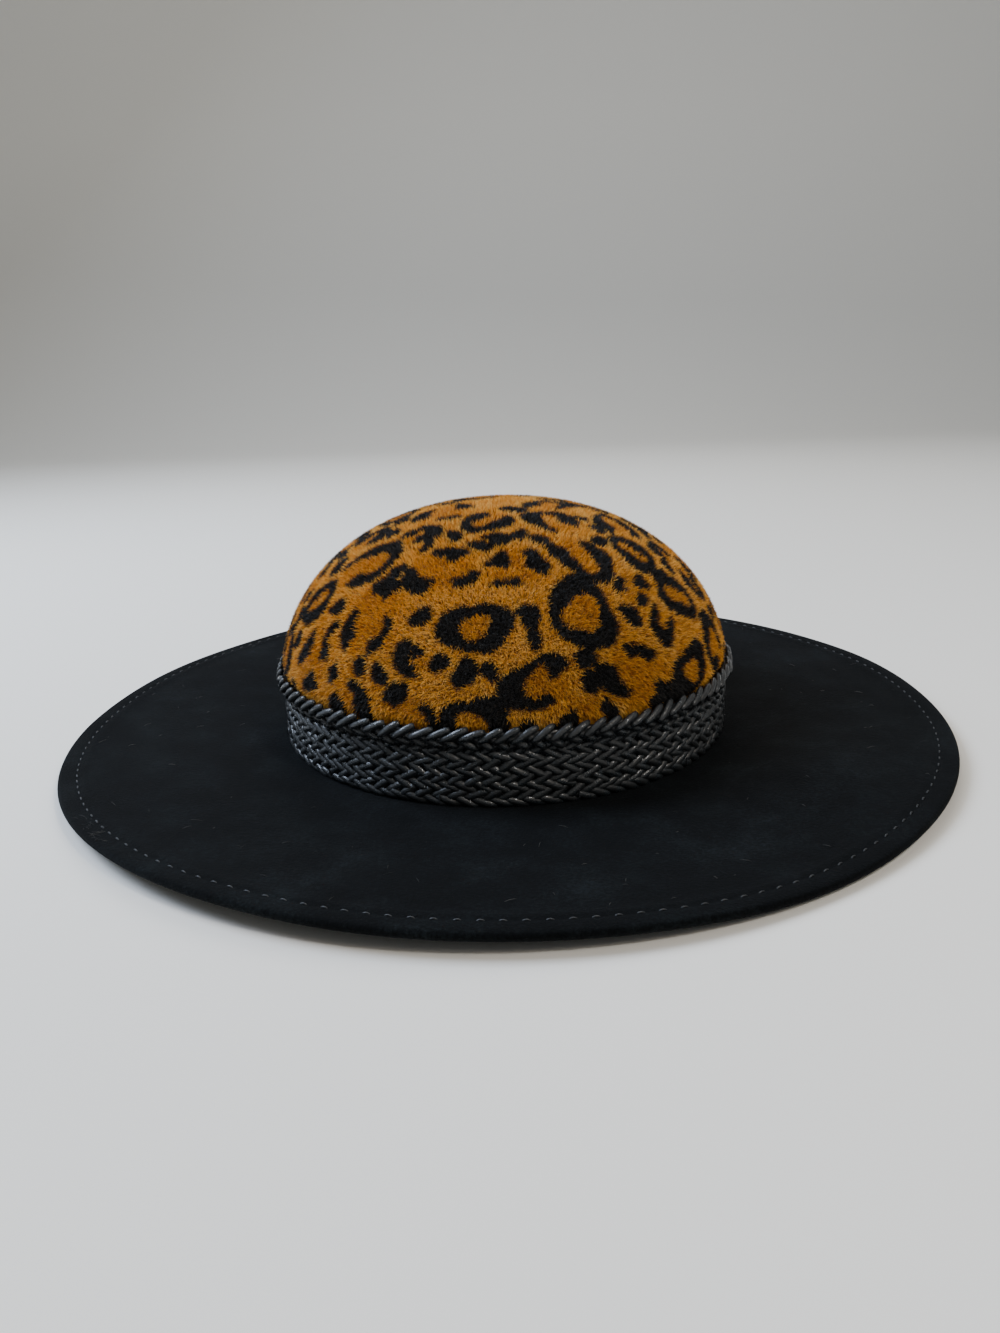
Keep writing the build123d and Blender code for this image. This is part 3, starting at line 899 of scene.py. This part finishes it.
def ribbonMaterial():
    # grosgrain ribbon: fine upright ribs, a dull silk gloss, with painted shade in the grooves and painted light on the
    # crests of the ribs
    material, tree, shader = newMaterial("grosgrain")
    place = addNode(tree, "ShaderNodeTexCoord").outputs["Object"]
    parts = addNode(tree, "ShaderNodeSeparateXYZ", Vector=place)
    angle = addNode(tree, "ShaderNodeMath", {"operation": "ARCTAN2"}, i0=parts.outputs["Y"], i1=parts.outputs["X"])
    ribPitch = 1.0 * mm
    ribs = addNode(tree, "ShaderNodeMath", {"operation": "MULTIPLY"}, i0=angle.outputs[0], i1=ribbonHigh.y / ribPitch * 2 * math.pi)
    ribReliefAndShade = addNode(tree, "ShaderNodeMath", {"operation": "SINE"}, i0=ribs.outputs[0])
    # the colour follows the rib relief: painted shade in the grooves, painted light on the crests
    ramp = setRamp(addNode(tree, "ShaderNodeValToRGB", Fac=addNode(
        tree, "ShaderNodeMath", {"operation": "MULTIPLY_ADD"}, i0=ribReliefAndShade.outputs[0], i1=0.5, i2=0.5).outputs[0]),
        [(0.0, srgb("0c0c0d")), (1.0, srgb("222325"))])
    tree.links.new(ramp.outputs["Color"], shader.inputs["Base Color"])
    bump = addNode(tree, "ShaderNodeBump", Strength=0.6, Distance=0.25 * mm, Height=ribReliefAndShade.outputs[0])
    tree.links.new(bump.outputs["Normal"], shader.inputs["Normal"])
    shader.inputs["Roughness"].default_value = 0.55
    return material


def dressNode(name, material):
    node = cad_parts[name]
    node.data.materials.clear()
    node.data.materials.append(material)


dressNode("sweatband", ribbonMaterial())
dressNode("sweatband_stitches", stitchThread)
dressNode("band_tacks", stitchThread)


def makeStage():
    # floor and backdrop in one sweep of paper
    wide, front, back, bend = 3.2, -2.2, 1.5, 0.7
    outline = [(front, 0.0), (back, 0.0)]
    outline += [(back + bend * math.sin(a), bend * (1 - math.cos(a))) for a in (k * math.pi / 24 for k in range(1, 13))]
    outline.append((back + bend, 3.0))
    points = [(side, y, z - 0.2 * mm) for y, z in outline for side in (-wide, wide)]
    faces = [(2 * i, 2 * i + 1, 2 * i + 3, 2 * i + 2) for i in range(len(outline) - 1)]
    paper = meshObject("studio_paper", points, faces)
    material, tree, shader = newMaterial("palePaper")
    shader.inputs["Base Color"].default_value = srgb("f1ede4")
    shader.inputs["Roughness"].default_value = 0.9
    paper.data.materials.append(material)


def addLamp(name, place, aim, size, power, colour):
    lamp = bpy.data.lights.new(name, "AREA")
    lamp.size = size
    lamp.energy = power
    lamp.color = srgb(colour)[:3]
    thing = bpy.data.objects.new(name, lamp)
    scene.collection.objects.link(thing)
    thing.location = place
    thing.rotation_euler = (Vector(aim) - Vector(place)).to_track_quat("-Z", "Y").to_euler()


viewSize = {
    "side": -1.8 * mm, "back": -420.8 * mm, "up": 142.1 * mm + edgeTop,
    "pitch": 16.67, "roll": -1.89, "lens": 27.24,
}


def makeCamera():
    camera = bpy.data.cameras.new("camera")
    camera.lens = viewSize["lens"]
    camera.sensor_width = 36
    camera.clip_start = 0.01
    thing = bpy.data.objects.new("camera", camera)
    scene.collection.objects.link(thing)
    aim = Euler((math.radians(90 - viewSize["pitch"]), 0, 0)).to_matrix().to_4x4()
    roll = Matrix.Rotation(math.radians(viewSize["roll"]), 4, "Z")
    thing.matrix_world = Matrix.Translation((viewSize["side"], viewSize["back"], viewSize["up"])) @ aim @ roll
    scene.camera = thing


makeStage()
addLamp("window", (-0.9, 0.15, 0.95), (0, 0, 0.03), 0.7, 24, "d6e6ff")
addLamp("room", (0.7, -0.8, 1.1), (0, 0, 0.03), 0.6, 5, "fff0dc")
addLamp("glint", (0.35, -0.55, 0.7), (0, 0, 0.05), 0.07, 1.6, "ffffff")
addLamp("ceiling", (0.1, 0.9, 1.2), (0, 0, 0.03), 1.0, 8, "ffffff")
world = bpy.data.worlds.new("studioAir")
scene.world = world
world.use_nodes = True
world.node_tree.nodes["Background"].inputs["Color"].default_value = srgb("dfe3e6")
world.node_tree.nodes["Background"].inputs["Strength"].default_value = 0.35
makeCamera()
